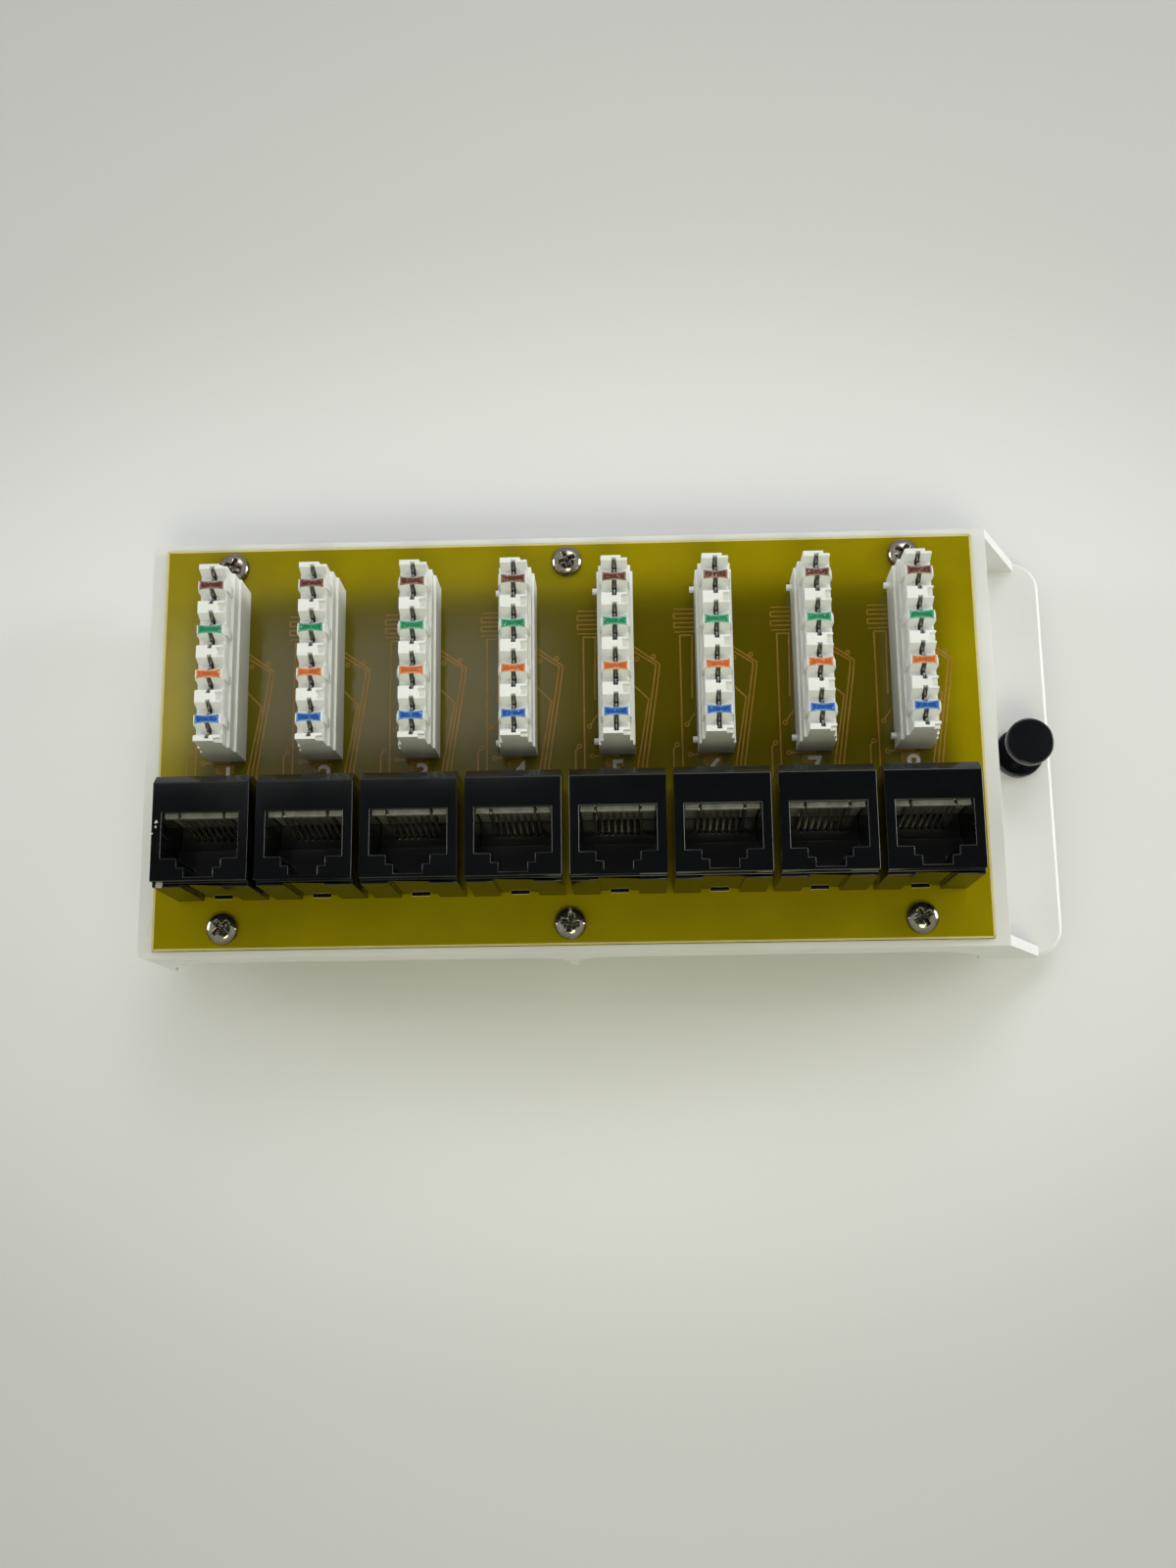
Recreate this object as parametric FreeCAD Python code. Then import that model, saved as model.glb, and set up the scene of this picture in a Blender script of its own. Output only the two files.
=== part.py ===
import FreeCAD, Part
import os

from FreeCAD import Vector

# An eight-port Ethernet distribution module, in millimetres.
# +X runs along the row of ports to the flange, +Y from the jacks to the terminal blocks, +Z up.
# The origin is under the middle of the whole part, level with the tips of its hooks and fastener.

# Ports, shared by the jacks and the terminal blocks
port_count = 8
port_pitch = 15.875

# Circuit board
board_length = 133.75
board_width = 67.0
board_thickness = 1.6
board_proud = 0.6
board_gap = 0.1

# Bracket
end_rim = 2.4
side_rim = 1.1
bracket_height = 19.0
wall_thickness = 1.6
corner_radius = 1.2
shelf_reach = 1.8
shelf_thickness = 2.0
skirt_drop = 7.6
centre_foot_width = 1.7
flange_reach = 12.5
flange_thickness = 2.0
flange_corner_radius = 5.0
flange_edge_chamfer = 0.5
gusset_reach = 8.2
gusset_thickness = 1.7

# Rounding of the arches between the feet, as shares of the arches' height
arch_end_share = 0.95
arch_centre_share = 0.55

# Hook tabs under the end wall
hook_drop = 4.0
hook_reach = 2.4
hook_width = 8.0
hook_toe = 2.2
hook_inset = 6.0

# Bosses that the board's screws bite into
screw_edge = 3.3
boss_width = 7.0
boss_height = 6.2

# Push fastener, which stands a given share of the flange's reach away from the end wall
fastener_place = 0.556
fastener_collar_diameter = 8.3
fastener_collar_height = 1.6
fastener_collar_chamfer = 0.25
leg_diameter = 5.8
leg_chamfer = 0.8
leg_slot = 0.8
barrel_diameter = 6.4
flange_hole_clearance = 0.05
stem_diameter = 4.0
stem_clearance = 0.05
plunger_head_diameter = 7.9
plunger_head_height = 1.4
plunger_head_chamfer = 0.2
plunger_travel = 6.6
plunger_end_gap = 0.3
stem_tip_chamfer = 0.6
stem_tip_past = 1.0

# Jack housing
jack_width = 14.75
jack_height = 16.55
jack_depth = 17.25
jack_front_gap = 7.85
nose_height = 1.65
nose_back_set = 1.35
nose_front_set = 0.7
socket_width = 11.7
socket_depth = 7.0
socket_front_margin = 3.5
socket_floor_height = 4.5
latch_wide = 6.65
latch_wide_depth = 1.4
latch_narrow = 4.35
latch_narrow_depth = 1.45
catch_reach = 2.9
catch_height = 1.5
front_recess_width = 6.1
front_recess_depth = 0.6
window_width = 3.3
window_height = 1.0
window_depth = 2.0

# Contact carrier inside each jack
carrier_depth = 4.0
carrier_fit = 0.1
carrier_cover = 1.1
carrier_lip_reach = 0.7
carrier_lip_height = 1.0
carrier_groove_spacing = 6.8
carrier_groove_width = 0.45
carrier_groove_depth = 0.8

# Contact wires inside each jack
wire_count = 8
wire_pitch = 1.016
wire_width = 0.4
wire_thickness = 0.3
wire_root_drop = 1.4
wire_root_reach = 0.5
wire_lean = 2.0
wire_tip_gap = 0.4
comb_rib_width = 0.35
comb_rib_height = 1.0
comb_rib_depth = 2.4

# Terminal block, which fills the room between the jacks and the board's back edge
block_front_gap = 5.6
block_back_gap = 7.5
block_height = 14.6
block_base_width = 5.8
block_base_height = 6.8
block_step_width = 5.1
block_step_height = 3.0
comb_width = 4.15
end_wall = 0.85
pair_count = 4
pad_thickness = 1.95
tooth_thickness = 1.3
tooth_width = 3.8
tooth_foot_width = 4.9
tooth_slope_height = 1.6
valley_depth = 1.9
valley_floor_width = 0.6
pad_notch = 1.0
pad_notch_length = 1.4
pad_notch_depth = 1.2
peg_width = 1.0
peg_chamfer = 0.3
peg_reach = 0.8
peg_height = 2.0
peg_inset = 1.75

# Slit contact in each valley of a terminal block
contact_thickness = 0.3
contact_bite = 0.35
contact_fit = 0.1
contact_side_gap = 0.22
contact_slit_width = 0.35
contact_slit_depth = 3.0
contact_rise = 0.9

# Levels
mounting_z = hook_drop
rim_z = mounting_z + bracket_height
board_top = rim_z + board_proud
board_bottom = board_top - board_thickness
flange_top = mounting_z + flange_thickness
skirt_bottom = rim_z - skirt_drop

# Plan of the bracket round the board
bracket_length = board_length + 2 * (board_gap + end_rim)
bracket_width = board_width + 2 * (board_gap + side_rim)
board_x = (hook_reach - flange_reach) / 2
bracket_left = board_x - bracket_length / 2
bracket_right = board_x + bracket_length / 2
bracket_back = bracket_width / 2
board_front = -board_width / 2
board_back = board_width / 2
port_x = [board_x + (i - (port_count - 1) / 2) * port_pitch for i in range(port_count)]
screw_x = [port_x[0], board_x, port_x[-1]]
screw_y = [board_front + screw_edge, board_back - screw_edge]
fastener_x = bracket_right + fastener_place * flange_reach


def block(x0, x1, y0, y1, z0, z1):
    """Return a box between two corners."""
    return Part.makeBox(x1 - x0, y1 - y0, z1 - z0, Vector(x0, y0, z0))


def prism(points, direction):
    """Return the closed outline through the points, swept along a direction."""
    outline = Part.makePolygon([Vector(*p) for p in points] + [Vector(*points[0])])
    return Part.Face(outline).extrude(Vector(*direction))


def post(x, y, z0, z1, diameter):
    """Return an upright cylinder."""
    return Part.makeCylinder(diameter / 2, z1 - z0, Vector(x, y, z0))


def revolve(x, y, profile):
    """Turn a (radius, z) profile about the upright line through x, y."""
    points = [Vector(x + r, y, z) for r, z in profile]
    face = Part.Face(Part.makePolygon(points + points[:1]))
    return face.revolve(Vector(x, y, 0), Vector(0, 0, 1), 360)


def upright_edges(shape, x, y):
    """Return the shape's upright edges that stand at a corner of the plan."""
    found = []
    for edge in shape.Edges:
        ends = [v.Point for v in edge.Vertexes]
        if len(ends) == 2 and all(abs(p.x - x) < 1e-6 and abs(p.y - y) < 1e-6 for p in ends):
            found.append(edge)
    return found


def export(name, solids):
    """Write one node: a single solid, or a group of separate solids."""
    shape = solids[0] if len(solids) == 1 else Part.makeCompound(solids)
    shape.exportStep("parts/%s.step" % name)


def make_bracket():
    """One moulding: rim and shelf for the board, skirts with arches, end walls, flange, gussets, hooks."""
    shell = block(bracket_left, bracket_right, -bracket_back, bracket_back, mounting_z, rim_z)
    corners = [e for y in (-bracket_back, bracket_back) for e in upright_edges(shell, bracket_left, y)]
    shell = shell.makeFillet(corner_radius, corners)
    seat = [board_length / 2 + board_gap, board_width / 2 + board_gap]
    shell = shell.cut(block(board_x - seat[0], board_x + seat[0], -seat[1], seat[1], board_bottom, rim_z))
    inner_x = bracket_length / 2 - wall_thickness
    inner_y = bracket_back - wall_thickness
    shelf_bottom = board_bottom - shelf_thickness
    well = block(board_x - inner_x, board_x + inner_x, -inner_y, inner_y, mounting_z, shelf_bottom)
    light = block(board_x - seat[0] + shelf_reach, board_x + seat[0] - shelf_reach,
                  -seat[1] + shelf_reach, seat[1] - shelf_reach, shelf_bottom, board_bottom)
    shell = shell.cut(well.fuse(light))
    for side in (-1, 1):
        shell = shell.cut(make_arch(board_x + side * centre_foot_width / 2, board_x + side * inner_x))
    return shell.fuse([make_flange()] + make_gussets() + make_hooks() + make_bosses()).removeSplitter()


def make_arch(centre_x, end_x):
    """Return the opening under a skirt between the centre foot and an end wall, rounded at both crowns."""
    height = skirt_bottom - mounting_z
    arch = block(min(centre_x, end_x), max(centre_x, end_x), -bracket_back, bracket_back,
                 mounting_z, skirt_bottom)
    for x, share in ((end_x, arch_end_share), (centre_x, arch_centre_share)):
        crown = [e for e in arch.Edges if all(abs(v.X - x) < 1e-6 and abs(v.Z - skirt_bottom) < 1e-6
                                              for v in e.Vertexes)]
        arch = arch.makeFillet(share * height, crown)
    return arch


def make_flange():
    """Mounting flange with rounded outer corners, a softened edge and the fastener's hole."""
    end = bracket_right + flange_reach
    flange = block(bracket_right, end, -bracket_back, bracket_back, mounting_z, flange_top)
    corners = [e for y in (-bracket_back, bracket_back) for e in upright_edges(flange, end, y)]
    flange = flange.makeFillet(flange_corner_radius, corners)
    rim = [e for e in flange.Edges if all(abs(v.Z - flange_top) < 1e-6 for v in e.Vertexes)
           and max(v.X for v in e.Vertexes) > end - flange_corner_radius + 1e-6]
    flange = flange.makeChamfer(flange_edge_chamfer, rim)
    hole = barrel_diameter + 2 * flange_hole_clearance
    return flange.cut(post(fastener_x, 0, mounting_z, flange_top, hole))


def make_gussets():
    """Two triangular webs from the rim down to the flange, flush with the skirts."""
    webs = []
    for y in (-bracket_back, bracket_back - gusset_thickness):
        outline = [(bracket_right, y, rim_z), (bracket_right, y, flange_top),
                   (bracket_right + gusset_reach, y, flange_top)]
        webs.append(prism(outline, (0, gusset_thickness, 0)))
    return webs


def make_hooks():
    """Two hook tabs that reach out under the panel from below the end wall."""
    hooks = []
    for side in (-1, 1):
        middle = side * (bracket_back - hook_inset - hook_width / 2)
        outline = [(bracket_left + wall_thickness, mounting_z), (bracket_left + wall_thickness, 0),
                   (bracket_left - hook_reach, 0), (bracket_left - hook_reach, hook_toe),
                   (bracket_left, hook_toe), (bracket_left, mounting_z)]
        points = [(x, middle - hook_width / 2, z) for x, z in outline]
        hooks.append(prism(points, (0, hook_width, 0)))
    return hooks


def make_bosses():
    """Square bosses that hang from the shelf beside the skirts, one under each of the board's screws."""
    bosses = []
    half = boss_width / 2
    skirt = bracket_back - wall_thickness
    for x in screw_x:
        for y in screw_y:
            y0, y1 = (y - half, skirt) if y > 0 else (-skirt, y + half)
            bosses.append(block(x - half, x + half, y0, y1, board_bottom - boss_height, board_bottom))
    return bosses


def make_board():
    """Bare board."""
    return block(board_x - board_length / 2, board_x + board_length / 2,
                 board_front, board_back, board_bottom, board_top)


def make_grommet():
    """Collar on the flange, a barrel through it and four split legs below."""
    leg = leg_diameter / 2
    barrel = barrel_diameter / 2
    bore = stem_diameter / 2 + stem_clearance
    collar = fastener_collar_diameter / 2
    top = flange_top + fastener_collar_height
    body = revolve(fastener_x, 0, [(bore, 0), (leg - leg_chamfer, 0), (leg, leg_chamfer), (leg, mounting_z),
                                   (barrel, mounting_z), (barrel, flange_top), (collar, flange_top),
                                   (collar, top - fastener_collar_chamfer),
                                   (collar - fastener_collar_chamfer, top), (bore, top)])
    half = leg_slot / 2
    lengthwise = block(fastener_x - leg, fastener_x + leg, -half, half, 0, mounting_z)
    crosswise = block(fastener_x - half, fastener_x + half, -leg, leg, 0, mounting_z)
    return body.cut([lengthwise, crosswise])


def make_plunger():
    """Plunger, pulled out: a round head on a stem that runs in the grommet's bore."""
    stem = stem_diameter / 2
    head = plunger_head_diameter / 2
    tip = plunger_travel - stem_tip_past
    under = flange_top + fastener_collar_height + plunger_end_gap + plunger_travel
    top = under + plunger_head_height
    return revolve(fastener_x, 0, [(0, tip), (stem - stem_tip_chamfer, tip), (stem, tip + stem_tip_chamfer),
                                   (stem, under), (head, under), (head, top - plunger_head_chamfer),
                                   (head - plunger_head_chamfer, top), (0, top)])


# Plan and levels of a jack, shared by its housing, carrier and wires
jack_front = board_front + jack_front_gap
jack_back = jack_front + jack_depth
jack_top = board_top + jack_height
socket_front = jack_front + nose_front_set + socket_front_margin
socket_back = socket_front + socket_depth
socket_floor = board_top + socket_floor_height
carrier_top = jack_top - carrier_cover
carrier_back = socket_back + carrier_depth


def wire_middles(x, count):
    """Return the middles of a row of wires, or of the ribs between them."""
    return [x + (i - (count - 1) / 2) * wire_pitch for i in range(count)]


def make_jack_housing(x):
    """Black housing: sloped nose, stepped latch keyway, carrier pocket, comb ribs on the socket floor."""
    half = jack_width / 2
    shoulder = jack_top - nose_height
    housing = block(x - half, x + half, jack_front, jack_back, board_top, shoulder)
    nose = [(jack_front + nose_front_set, shoulder), (jack_front + nose_front_set, jack_top),
            (jack_back - nose_back_set, jack_top), (jack_back, shoulder)]
    housing = housing.fuse(prism([(x - half, y, z) for y, z in nose], (jack_width, 0, 0)))
    mouth = socket_width / 2
    wide_front = socket_front - latch_wide_depth
    narrow_front = wide_front - latch_narrow_depth
    catch_back = socket_front + catch_reach
    catch_top = socket_floor + catch_height
    keyway = block(x - latch_wide / 2, x + latch_wide / 2, wide_front, socket_front, catch_top, jack_top)
    keyway = keyway.fuse(block(x - latch_narrow / 2, x + latch_narrow / 2, narrow_front, wide_front,
                               catch_top, jack_top))
    socket = block(x - mouth, x + mouth, socket_front, socket_back, socket_floor, jack_top)
    socket = socket.cut(block(x - mouth, x + mouth, socket_front, catch_back, socket_floor, catch_top))
    for middle in wire_middles(x, wire_count - 1):
        socket = socket.cut(block(middle - comb_rib_width / 2, middle + comb_rib_width / 2,
                                  socket_back - comb_rib_depth, socket_back,
                                  socket_floor, socket_floor + comb_rib_height))
    pocket = block(x - mouth, x + mouth, socket_back, carrier_back, board_top, carrier_top)
    recess = block(x - front_recess_width / 2, x + front_recess_width / 2, jack_front,
                   jack_front + front_recess_depth, board_top, jack_top)
    window = block(x - window_width / 2, x + window_width / 2, jack_front + front_recess_depth,
                   jack_front + front_recess_depth + window_depth, board_top, board_top + window_height)
    return housing.cut([socket.fuse([keyway, pocket]), recess, window]).removeSplitter()


def make_carrier(x):
    """Grey insert that fills the pocket behind the socket, with a lip in three lengths over the wires."""
    half = socket_width / 2 - carrier_fit
    top = carrier_top - carrier_fit
    carrier = block(x - half, x + half, socket_back, carrier_back - carrier_fit, board_top, top)
    lip_front = socket_back - carrier_lip_reach
    lip = block(x - half, x + half, lip_front, socket_back, top - carrier_lip_height, top)
    carrier = carrier.fuse(lip).removeSplitter()
    grooves = []
    for side in (-1, 1):
        middle = x + side * carrier_groove_spacing / 2
        grooves.append(block(middle - carrier_groove_width / 2, middle + carrier_groove_width / 2,
                             lip_front, socket_back + carrier_groove_depth, socket_floor, carrier_top))
    return carrier.cut(grooves)


def make_wires(x):
    """Sprung wires that leave the carrier near its top and lean down into the comb on the floor."""
    root = carrier_top - wire_root_drop
    tip = socket_floor + wire_tip_gap
    outline = [(socket_back, root), (socket_back - wire_root_reach, root), (socket_back - wire_lean, tip),
               (socket_back - wire_lean + wire_thickness, tip),
               (socket_back - wire_root_reach + wire_thickness / 2, root - wire_thickness),
               (socket_back, root - wire_thickness)]
    wires = []
    for middle in wire_middles(x, wire_count):
        points = [(middle - wire_width / 2, y, z) for y, z in outline]
        wires.append(prism(points, (wire_width, 0, 0)))
    return wires


# Plan and levels of a terminal block, shared by its moulding and its contacts
block_front = jack_back + block_front_gap
block_back = board_back - block_back_gap
block_middle = (block_front + block_back) / 2
block_top = board_top + block_height
base_top = board_top + block_base_height
step_top = base_top + block_step_height
valley_floor = block_top - valley_depth
plain_length = 2 * end_wall + pair_count * tooth_thickness + (pair_count - 1) * pad_thickness
valley_width = (block_back - block_front - plain_length) / (2 * pair_count)
pair_pitch = tooth_thickness + 2 * valley_width + pad_thickness
contact_length = valley_width + 2 * contact_bite
tooth_y = [block_middle + (i - (pair_count - 1) / 2) * pair_pitch for i in range(pair_count)]
valley_offset = (tooth_thickness + valley_width) / 2
valley_y = [y + side * valley_offset for y in tooth_y for side in (-1, 1)]
pad_y = [(a + b) / 2 for a, b in zip(tooth_y, tooth_y[1:])]


def comb_profile():
    """Return the comb's outline along the block as (y, z) points, valley by valley."""
    wide = valley_width / 2
    narrow = valley_floor_width / 2
    outline = [(block_front, step_top), (block_front, block_top)]
    for y in valley_y:
        outline += [(y - wide, block_top), (y - narrow, valley_floor),
                    (y + narrow, valley_floor), (y + wide, block_top)]
    return outline + [(block_back, block_top), (block_back, step_top)]


def make_contact_pocket(x, y):
    """Return the upright pocket that a contact stands in."""
    thick = contact_thickness / 2 + contact_side_gap
    length = contact_length / 2 + contact_fit
    return block(x - thick, x + thick, y - length, y + length, board_top, block_top)


def make_side_rib(x, y):
    """Return the sloped rib that stands out on both sides of a colour-marked tooth."""
    foot = tooth_foot_width / 2
    crest = tooth_width / 2
    slope = block_top - tooth_slope_height
    outline = [(x - foot, step_top), (x + foot, step_top), (x + foot, slope), (x + crest, block_top),
               (x - crest, block_top), (x - foot, slope)]
    return prism([(px, y - tooth_thickness / 2, pz) for px, pz in outline], (0, tooth_thickness, 0))


def make_pad_notches(x):
    """Return the square notches along one side of the plain pads and of both end walls."""
    edge = x + comb_width / 2
    floor = block_top - pad_notch_depth
    half = pad_notch_length / 2
    short = pad_notch / 2
    spans = [(y - half, y + half) for y in pad_y]
    spans += [(block_front, block_front + short), (block_back - short, block_back)]
    return [block(edge - pad_notch, edge, y0, y1, floor, block_top) for y0, y1 in spans]


def make_pegs(x):
    """Return the two small eight-sided pegs on one side of the base."""
    side = x - block_base_width / 2
    far = peg_width / 2
    near = far - peg_chamfer
    ring = [(near, far), (far, near), (far, -near), (near, -far),
            (-near, -far), (-far, -near), (-far, near), (-near, far)]
    z = board_top + peg_height
    middles = (block_front + peg_inset, block_back - peg_inset)
    return [prism([(side, y + dy, z + dz) for dy, dz in ring], (-peg_reach, 0, 0)) for y in middles]


def make_terminal_block(x):
    """White punch-down block: stepped base, toothed comb with flared valleys, notched pads, side pegs."""
    half = block_base_width / 2
    base = block(x - half, x + half, block_front, block_back, board_top, base_top)
    half = block_step_width / 2
    step = block(x - half, x + half, block_front, block_back, base_top, step_top)
    comb = prism([(x - comb_width / 2, y, z) for y, z in comb_profile()], (comb_width, 0, 0))
    ribs = [make_side_rib(x, y) for y in tooth_y]
    body = base.fuse([step, comb] + ribs + make_pegs(x)).removeSplitter()
    return body.cut([make_contact_pocket(x, y) for y in valley_y] + make_pad_notches(x))


def make_contacts(x):
    """Upright slit blades, one in each valley, standing on the board with their tips above its floor."""
    top = valley_floor + contact_rise
    half = contact_length / 2
    slit = contact_slit_width / 2
    blades = []
    for y in valley_y:
        outline = [(y - half, board_top), (y + half, board_top), (y + half, top), (y + slit, top),
                   (y + slit, top - contact_slit_depth), (y - slit, top - contact_slit_depth),
                   (y - slit, top), (y - half, top)]
        points = [(x - contact_thickness / 2, py, pz) for py, pz in outline]
        blades.append(prism(points, (contact_thickness, 0, 0)))
    return blades


os.makedirs("parts", exist_ok=True)
export("bracket", [make_bracket()])
export("circuit_board", [make_board()])
export("push_grommet", [make_grommet()])
export("push_plunger", [make_plunger()])
for number, x in enumerate(port_x, start=1):
    export("jack_housing_%d" % number, [make_jack_housing(x)])
    export("jack_carrier_%d" % number, [make_carrier(x)])
    export("jack_contacts_%d" % number, make_wires(x))
    export("idc_block_%d" % number, [make_terminal_block(x)])
    export("idc_contacts_%d" % number, make_contacts(x))
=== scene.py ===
import logging
import math
from dataclasses import dataclass, field
from enum import Enum
from typing import Any, Iterable, Sequence

import bmesh
import bpy
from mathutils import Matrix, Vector


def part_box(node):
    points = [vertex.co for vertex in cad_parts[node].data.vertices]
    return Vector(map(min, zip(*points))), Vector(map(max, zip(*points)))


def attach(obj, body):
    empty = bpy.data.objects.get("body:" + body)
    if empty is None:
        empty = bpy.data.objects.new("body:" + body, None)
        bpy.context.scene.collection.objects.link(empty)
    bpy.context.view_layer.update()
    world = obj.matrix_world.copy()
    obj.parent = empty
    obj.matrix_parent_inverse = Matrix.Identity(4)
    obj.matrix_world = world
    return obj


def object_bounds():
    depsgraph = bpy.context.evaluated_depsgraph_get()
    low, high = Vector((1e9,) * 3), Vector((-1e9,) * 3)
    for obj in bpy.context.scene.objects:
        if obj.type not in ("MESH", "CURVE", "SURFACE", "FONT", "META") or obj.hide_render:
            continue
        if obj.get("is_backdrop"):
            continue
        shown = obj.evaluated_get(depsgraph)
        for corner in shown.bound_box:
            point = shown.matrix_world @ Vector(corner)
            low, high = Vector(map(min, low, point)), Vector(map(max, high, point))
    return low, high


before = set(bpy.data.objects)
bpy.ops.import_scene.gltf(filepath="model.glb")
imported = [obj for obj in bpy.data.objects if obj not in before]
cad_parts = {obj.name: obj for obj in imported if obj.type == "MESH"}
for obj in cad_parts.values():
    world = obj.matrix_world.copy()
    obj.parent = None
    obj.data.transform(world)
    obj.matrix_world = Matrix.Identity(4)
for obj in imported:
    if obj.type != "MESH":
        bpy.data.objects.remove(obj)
log = logging.getLogger("module")

# All lengths below are millimetres in the CAD frame; this turns them into Blender's metres.
MM = 0.001

# The photograph's frame, for the camera only.
PHOTO_HEIGHT_PX = 1600
SENSOR_MM = 36.0

# A wave texture at scale 1 has about this many half waves, one thread each, in a unit.
HALF_WAVES_PER_UNIT = 6.28

# Corners this close and faces this level are joined before a node's edges are softened.
WELD_M = 1e-6
LEVEL_DEG = 1.0

# Edges sharper than this are softened, in so many steps.
SOFTEN_DEG = 35.0
SOFTEN_STEPS = 2

# A strip's mitres are drawn as if no corner were sharper than this cosine.
MITRE_FLOOR = 0.4

# How dark a foil's shade is against its tone.
FOIL_SHADE = 0.82

Point2 = tuple[float, float]
Point3 = tuple[float, float, float]
Route = Sequence[Point2]
Tree = bpy.types.NodeTree
Socket = bpy.types.NodeSocket


class Wear(Enum):
    """How much of the white plastic shows through a stamped foil."""

    FRESH = 0.0
    WORN = 0.36


class Pair(Enum):
    """Wire-pair colours stamped on the terminal teeth, in order from the front of a block."""

    BLUE = "#0A4EA6"
    ORANGE = "#C45F1C"
    GREEN = "#0F7F51"
    BROWN = "#5A2818"


class Bump(Enum):
    """The relief that a finish carries: moulded grain, drawn metal or woven laminate."""

    GRAIN = "grain"
    DRAWN = "drawn"
    WEAVE = "weave"


def linear(hex_colour: str) -> tuple[float, float, float, float]:
    """Turn an sRGB hex colour into linear RGBA.

    Args:
        hex_colour: Colour as "#RRGGBB".

    Returns:
        Linear red, green, blue and an alpha of one.
    """
    channels = [int(hex_colour[i:i + 2], 16) / 255 for i in (1, 3, 5)]
    bent = [c / 12.92 if c <= 0.04045 else ((c + 0.055) / 1.055) ** 2.4 for c in channels]
    return bent[0], bent[1], bent[2], 1.0


def add_node(tree: Tree, kind: str, inputs: dict[Any, Any] | None = None,
             **settings: Any) -> bpy.types.Node:
    """Add a node, set its properties, then fill or link its inputs.

    Args:
        tree: The node tree to add to.
        kind: The node's type name.
        inputs: Socket name or index to a constant, or to an output socket to link from.
        **settings: Properties of the node itself.

    Returns:
        The new node.
    """
    node = tree.nodes.new(kind)
    for name, value in settings.items():
        setattr(node, name, value)
    for key, value in (inputs or {}).items():
        if isinstance(value, Socket):
            tree.links.new(value, node.inputs[key])
        else:
            node.inputs[key].default_value = value
    return node


def box_mm(node: str) -> tuple[Vector, Vector]:
    """Return a node's lowest and highest corners in millimetres."""
    low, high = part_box(node)
    return low / MM, high / MM


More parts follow.
